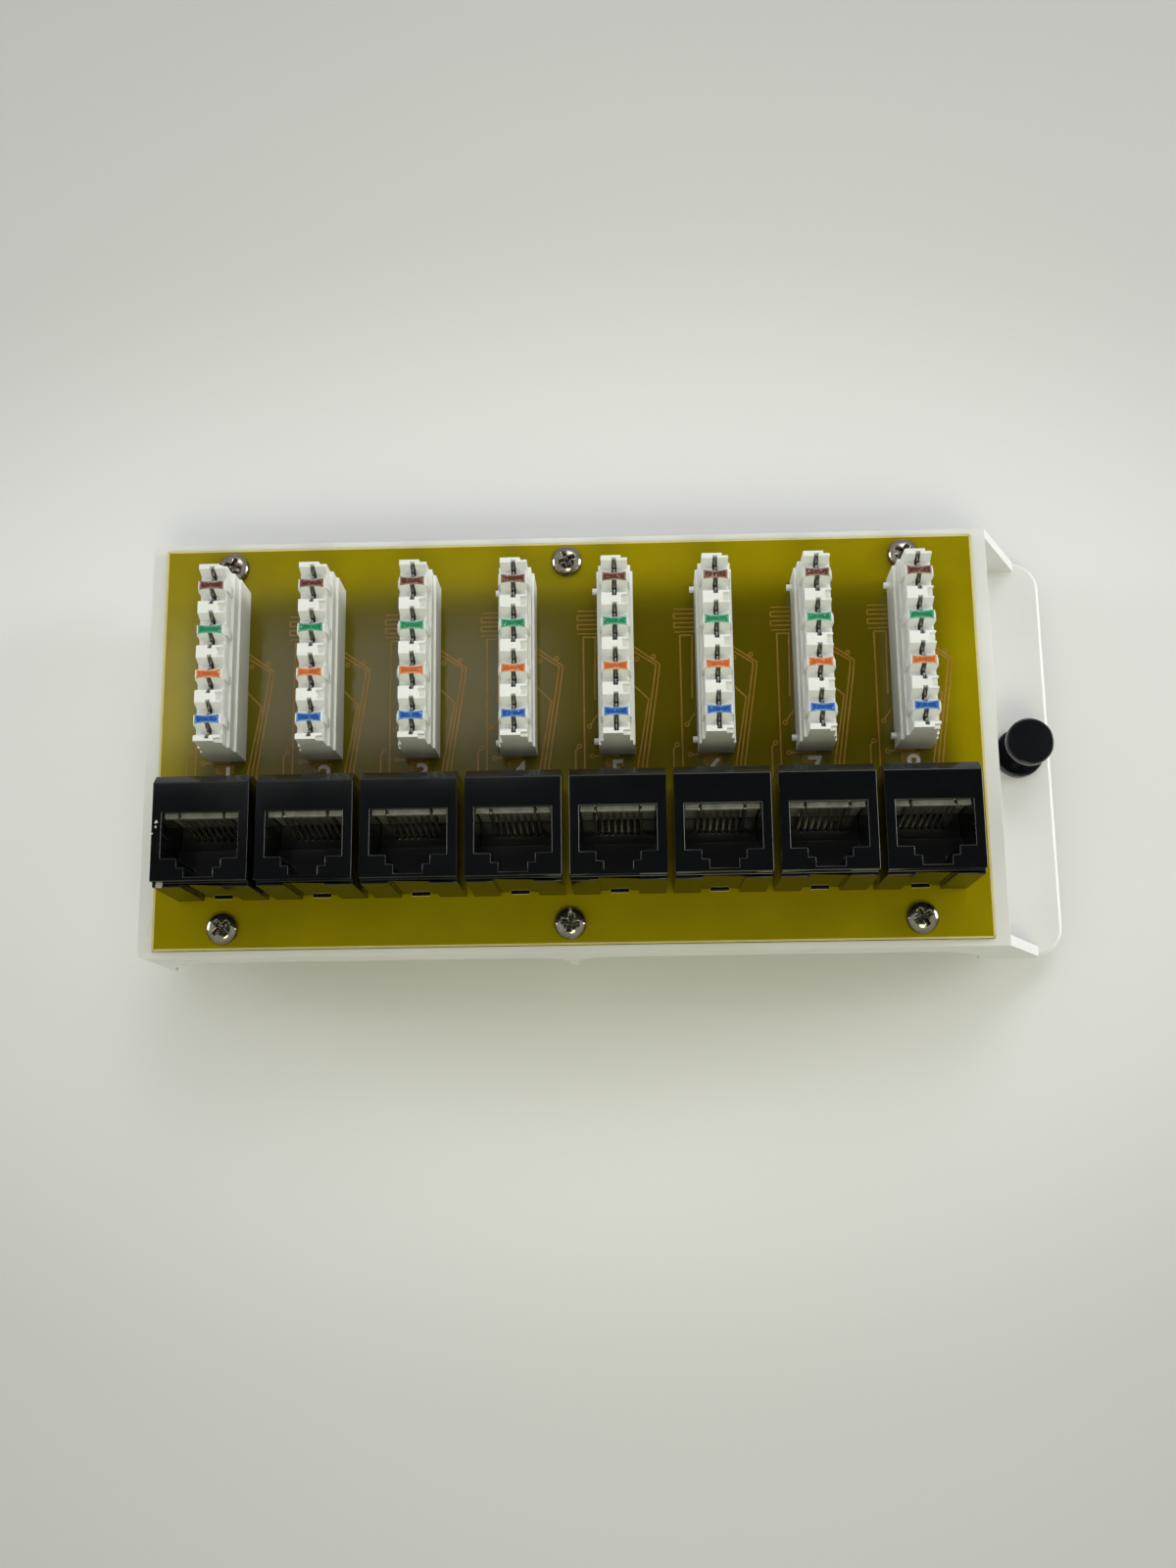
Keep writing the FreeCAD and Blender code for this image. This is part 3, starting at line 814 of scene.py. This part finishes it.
    def _joints(self, number: int, x: float) -> None:
        """Soldered tails on the underside: two staggered rows for the jack, one for the terminal block.

        Args:
            number: The port's number.
            x: The port's middle, in millimetres.
        """
        jack_low, jack_high = box_mm("jack_carrier_%d" % number)
        row_y = (jack_low.y + jack_high.y) / 2
        block_low, block_high = box_mm("idc_contacts_%d" % number)
        places = []
        for i in range(self.wire_count):
            along = (i - (self.wire_count - 1) / 2) * self.wire_pitch_mm
            places.append((x + along, row_y + (self.joint_row_mm if i % 2 else -self.joint_row_mm)))
            places.append((x, block_low.y + (i + 0.5) * (block_high.y - block_low.y) / self.wire_count))
        shapes = bmesh.new()
        for place in places:
            loops = []
            for share, drop in self.joint_rims:
                z = self.low.z - drop * self.joint_height_mm
                rim = ring(place, self.joint_radius_mm * share, self.joint_sides)
                loops.append([shapes.verts.new((px * MM, py * MM, z * MM)) for px, py in rim])
            for upper, lower in zip(loops, loops[1:]):
                for i in range(len(upper)):
                    j = (i + 1) % len(upper)
                    shapes.faces.new((upper[i], upper[j], lower[j], lower[i]))
            shapes.faces.new(loops[-1])
            shapes.faces.new(loops[0][::-1])
        add_piece("solder_joints_%d" % number, mesh_from("solder_joints_%d" % number, shapes), SOLDER,
                  "module")


@dataclass
class TerminalBlock:
    """One punch-down block, its contacts and the colour stamped on its teeth."""

    number: int
    edge_mm: float = 0.045
    contact_edge_mm: float = 0.03
    pair_pitch_mm: float = 7.2625
    cap_length_mm: float = 3.8
    cap_end_mm: float = 1.44
    cap_waist_mm: float = 1.18
    cap_rise_mm: float = 0.1
    face_length_mm: float = 3.3
    face_end_mm: float = 1.08
    face_waist_mm: float = 0.64
    face_rise_mm: float = 0.02
    foil_edge_mm: float = 0.015
    outline_steps: int = 8

    def build(self) -> None:
        """Dress the block and its contacts, and stamp its teeth."""
        dress("idc_block_%d" % self.number, WHITE_PBT, self.edge_mm)
        dress("idc_contacts_%d" % self.number, TIN_PLATE, self.contact_edge_mm)
        low, high = box_mm("idc_block_%d" % self.number)
        contact_low, contact_high = box_mm("idc_contacts_%d" % self.number)
        x = (contact_low.x + contact_high.x) / 2
        middle = (low.y + high.y) / 2
        for i, pair in enumerate(Pair):
            y = middle + (i - (len(Pair) - 1) / 2) * self.pair_pitch_mm
            self._cap(pair, x, y, high.z)

    def _cap(self, pair: Pair, x: float, y: float, top: float) -> None:
        """Stamp one tooth: foil worn pale along its edges, with a bow-tie of the full colour inside.

        Args:
            pair: The wire pair whose colour it gets.
            x: Its middle across the block, in millimetres.
            y: Its middle along the block, in millimetres.
            top: Height of the tooth's top, in millimetres.
        """
        colour = pair.name.lower()
        crest = top + self.cap_rise_mm / 2
        edge = self._bow_tie(x, y, self.cap_length_mm, self.cap_end_mm, self.cap_waist_mm)
        face = self._bow_tie(x, y, self.face_length_mm, self.face_end_mm, self.face_waist_mm)
        for name, outline, wear, bottom, height in (
                ("tooth_%s_%d", edge, Wear.WORN, top - self.cap_rise_mm, crest),
                ("tooth_face_%s_%d", face, Wear.FRESH, top, crest + self.face_rise_mm)):
            shapes = bmesh.new()
            add_prism(shapes, outline, bottom, height)
            name = name % (colour, self.number)
            piece = add_piece(name, mesh_from(name, shapes), stamped(pair, wear),
                              "module")
            soft = piece.modifiers.new("soft_edges", "BEVEL")
            soft.width = self.foil_edge_mm * MM
            soft.segments = SOFTEN_STEPS

    def _bow_tie(self, x: float, y: float, length: float, end: float, waist: float) -> list[Point2]:
        """Return the outline of a bow-tie that is wider at its ends than at its waist.

        Args:
            x: Its middle across the block.
            y: Its middle along the block.
            length: How long it is, across the block.
            end: How wide it is at both ends.
            waist: How wide it is in the middle.

        Returns:
            The outline's points, anticlockwise.
        """
        places = [2 * i / self.outline_steps - 1 for i in range(self.outline_steps + 1)]
        rim = [(x + length / 2 * a, (waist + (end - waist) * a * a) / 2) for a in places]
        return [(px, y - half) for px, half in rim] + [(px, y + half) for px, half in reversed(rim)]


@dataclass
class Jack:
    """One jack: housing, carrier and wires."""

    number: int
    edge_mm: float = 0.15
    contact_edge_mm: float = 0.04

    def build(self) -> None:
        """Dress the jack's three nodes."""
        dress("jack_housing_%d" % self.number, BLACK_PBT, self.edge_mm)
        dress("jack_carrier_%d" % self.number, GREY_PBT, self.edge_mm)
        dress("jack_contacts_%d" % self.number, GOLD_FLASH, self.contact_edge_mm)


@dataclass
class BoardScrews:
    """The six small pan-head screws that hold the board down, each with a cross recess."""

    board: CircuitBoard
    from_edge_mm: float = 3.3
    head_radius_mm: float = 2.55
    rim_height_mm: float = 0.45
    crown_height_mm: float = 1.7
    crown_power: float = 2.6
    sink_mm: float = 0.05
    recess_reach_mm: float = 1.5
    recess_half_width_mm: float = 0.36
    recess_depth_mm: float = 1.1
    recess_wall_mm: float = 0.12
    turn_step: float = 0.7
    rings: int = 30
    spokes: int = 64

    def build(self) -> None:
        """Put a screw at each end port and in the middle, along both long edges."""
        middle = (self.board.low.x + self.board.high.x) / 2
        columns = [self.board.port_x[0], middle, self.board.port_x[-1]]
        rows = [self.board.low.y + self.from_edge_mm, self.board.high.y - self.from_edge_mm]
        for i, (x, y) in enumerate([(x, y) for y in rows for x in columns], start=1):
            self._screw("board_screw_%d" % i, x, y, turn=self.turn_step * i)

    def _height(self, x: float, y: float) -> float:
        """Return the head's height over the board: a crown with the recess sunk in it.

        Args:
            x: Place along one arm of the cross, from the head's middle, in millimetres.
            y: Place along the other arm.

        Returns:
            The height there, in millimetres.
        """
        out = min(1.0, math.hypot(x, y) / self.head_radius_mm)
        swell = self.crown_height_mm - self.rim_height_mm
        crown = self.rim_height_mm + swell * math.sqrt(1 - out ** self.crown_power)
        near, far = sorted((abs(x), abs(y)))
        inside = min(self.recess_half_width_mm - near, self.recess_reach_mm - far) / self.recess_wall_mm
        return crown - self.recess_depth_mm * min(1.0, max(0.0, inside))

    def _screw(self, name: str, x: float, y: float, turn: float) -> None:
        """Model one head on rings and spokes, with its cross turned as the driver left it.

        Args:
            name: The piece's name.
            x: Place along the board, in millimetres.
            y: Place across the board, in millimetres.
            turn: How far the cross is turned, in radians.
        """
        base = self.board.high.z
        shapes = bmesh.new()
        loops = [[shapes.verts.new((px * MM, py * MM, (base - self.sink_mm) * MM))
                  for px, py in ring((x, y), self.head_radius_mm, self.spokes)]]
        for i in range(self.rings, 0, -1):
            radius = self.head_radius_mm * i / self.rings
            loop = []
            for px, py in ring((0.0, 0.0), radius, self.spokes):
                across = px * math.cos(turn) + py * math.sin(turn)
                along = py * math.cos(turn) - px * math.sin(turn)
                z = base + self._height(across, along)
                loop.append(shapes.verts.new(((x + px) * MM, (y + py) * MM, z * MM)))
            loops.append(loop)
        for outer, inner in zip(loops, loops[1:]):
            for i in range(self.spokes):
                j = (i + 1) % self.spokes
                shapes.faces.new((outer[i], outer[j], inner[j], inner[i]))
        shapes.faces.new(loops[-1])
        shapes.faces.new(loops[0][::-1])
        for face in shapes.faces:
            face.smooth = True
        add_piece(name, mesh_from(name, shapes), NICKEL_STEEL, "module")


@dataclass
class PushFastener:
    """The grommet in the flange and the plunger that locks it."""

    edge_mm: float = 0.12

    def build(self) -> None:
        """Dress the grommet and the plunger."""
        dress("push_grommet", BLACK_NYLON, self.edge_mm)
        dress("push_plunger", BLACK_NYLON, self.edge_mm)


@dataclass(frozen=True)
class Lamp:
    """A soft lamp aimed at a place, by default at the part."""

    name: str
    place_mm: Point3
    size_mm: Point2
    watts: float
    spread_deg: float = 180.0
    aim_mm: Point3 = (0.0, 0.0, 0.0)
    tint: str = "#FFFFFF"

    def build(self) -> None:
        """Stand the lamp in its place, facing its aim."""
        lamp = bpy.data.lights.new(self.name, "AREA")
        lamp.shape = "RECTANGLE"
        lamp.energy = self.watts
        lamp.color = linear(self.tint)[:3]
        lamp.size, lamp.size_y = (s * MM for s in self.size_mm)
        lamp.spread = math.radians(self.spread_deg)
        stand = bpy.data.objects.new(self.name, lamp)
        stand.location = Vector(self.place_mm) * MM
        way = Vector(self.aim_mm) - Vector(self.place_mm)
        stand.rotation_euler = way.to_track_quat("-Z", "Y").to_euler()
        bpy.context.collection.objects.link(stand)


@dataclass
class Studio:
    """Pale floor, soft light all round, lamps at the sides, behind, in front and above, and the camera.

    The sky's stops are heights and brightnesses, from the horizon to straight up. The shade is a soft dark
    patch in it, near overhead.
    """

    floor_tone: str = "#DADAD9"
    floor_shade: str = "#D6D6D5"
    floor_size_mm: float = 4000.0
    sky: tuple[Point2, ...] = ((0.0, 0.56), (0.35, 0.76), (0.6, 0.84), (1.0, 0.84))
    shade_tilt_deg: float = 3.0
    shade_edge_deg: Point2 = (20.0, 29.0)
    shade_level: float = 0.08
    front_tint: str = "#E8EAD4"
    back_tint: str = "#F2F6FF"
    lamps: tuple[Lamp, ...] = (
        Lamp("lamp_left", (-650.0, 140.0, 130.0), (300.0, 200.0), watts=0.17, spread_deg=50.0),
        Lamp("lamp_right", (650.0, 140.0, 150.0), (300.0, 200.0), watts=0.26, spread_deg=50.0),
        Lamp("lamp_key", (120.0, 420.0, 500.0), (420.0, 260.0), watts=0.085, spread_deg=44.0),
        Lamp("lamp_fill", (60.0, -330.0, 560.0), (200.0, 200.0), watts=0.048, spread_deg=34.0,
             tint="#FFFFD4"),
        Lamp("ceiling_panel", (-240.0, 288.0, 1024.0), (370.0, 106.0), watts=0.27,
             aim_mm=(-240.0, 288.0, 0.0)),
    )
    focal_px: float = 1716.0
    camera_from_board_mm: Point3 = (10.32, -64.76, 265.43)
    camera_turn_deg: Point3 = (12.13, 1.72, -0.71)
    camera_near_mm: float = 10.0

    def build(self) -> None:
        """Set the floor, the light and the camera."""
        self._floor()
        self._world()
        for lamp in self.lamps:
            lamp.build()
        self._camera()
        bpy.context.scene.view_settings.view_transform = "Standard"

    def _floor(self) -> None:
        """Lay the floor under the lowest point of the part."""
        half = self.floor_size_mm / 2 * MM
        low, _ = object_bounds()
        mesh = bpy.data.meshes.new("floor")
        corners = [(-half, -half), (half, -half), (half, half), (-half, half)]
        mesh.from_pydata([(x, y, low[2]) for x, y in corners], [], [(0, 1, 2, 3)])
        finish = FloorPaint("floor_painted_matt", self.floor_tone, self.floor_shade,
                            roughness=0.5, mottle_mm=300.0, relief_mm=2.0)
        mesh.materials.append(finish.material())
        floor = bpy.data.objects.new("floor", mesh)
        bpy.context.collection.objects.link(floor)
        floor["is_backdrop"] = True

    def _world(self) -> None:
        """Surround the part with soft light, dark overhead where level gloss would mirror it to the camera."""
        world = bpy.data.worlds.new("studio")
        bpy.context.scene.world = world
        world.use_nodes = True
        tree = world.node_tree
        tree.nodes.clear()
        place = add_node(tree, "ShaderNodeTexCoord").outputs["Generated"]
        way = add_node(tree, "ShaderNodeSeparateXYZ", {"Vector": place})
        side = add_node(tree, "ShaderNodeMapRange", {"Value": way.outputs["Y"], "From Min": -1.0})
        tint = add_node(tree, "ShaderNodeMixRGB", {
            "Fac": side.outputs["Result"],
            "Color1": linear(self.front_tint), "Color2": linear(self.back_tint)})
        level = add_node(tree, "ShaderNodeValToRGB", {"Fac": way.outputs["Z"]})
        stops = level.color_ramp.elements
        while len(stops) < len(self.sky):
            stops.new(0.5)
        for stop, (height, bright) in zip(stops, self.sky):
            stop.position = height
            stop.color = (bright, bright, bright, 1.0)
        tilt = math.radians(self.shade_tilt_deg)
        near = add_node(tree, "ShaderNodeVectorMath", {0: place, 1: (0.0, math.sin(tilt), math.cos(tilt))},
                        operation="DOT_PRODUCT")
        inner, outer = (math.cos(math.radians(a)) for a in self.shade_edge_deg)
        shade = add_node(tree, "ShaderNodeMapRange", {
            "Value": near.outputs["Value"], "From Min": outer, "From Max": inner,
            "To Min": 1.0, "To Max": self.shade_level}, interpolation_type="SMOOTHSTEP")
        strength = add_node(tree, "ShaderNodeMath", {0: level.outputs["Color"], 1: shade.outputs["Result"]},
                            operation="MULTIPLY")
        back = add_node(tree, "ShaderNodeBackground", {
            "Color": tint.outputs["Color"], "Strength": strength.outputs["Value"]})
        add_node(tree, "ShaderNodeOutputWorld", {"Surface": back.outputs["Background"]})

    def _camera(self) -> None:
        """Stand the camera where the photograph was taken."""
        lens = bpy.data.cameras.new("camera")
        lens.sensor_fit = "VERTICAL"
        lens.sensor_height = SENSOR_MM
        lens.lens = self.focal_px * SENSOR_MM / PHOTO_HEIGHT_PX
        lens.clip_start = self.camera_near_mm * MM
        camera = bpy.data.objects.new("camera", lens)
        low, high = box_mm("circuit_board")
        board = Vector(((low.x + high.x) / 2, (low.y + high.y) / 2, high.z))
        camera.location = (board + Vector(self.camera_from_board_mm)) * MM
        camera.rotation_euler = [math.radians(a) for a in self.camera_turn_deg]
        bpy.context.collection.objects.link(camera)
        bpy.context.scene.camera = camera


def main() -> None:
    """Build and dress every part of the module, then set the studio round it."""
    logging.basicConfig(level=logging.INFO, format="%(name)s: %(message)s")
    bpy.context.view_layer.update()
    board = CircuitBoard()
    Bracket().build()
    board.build()
    for number in range(1, board.port_count + 1):
        Jack(number).build()
        TerminalBlock(number).build()
    BoardScrews(board).build()
    PushFastener().build()
    Studio().build()


if __name__ == "__main__":
    main()
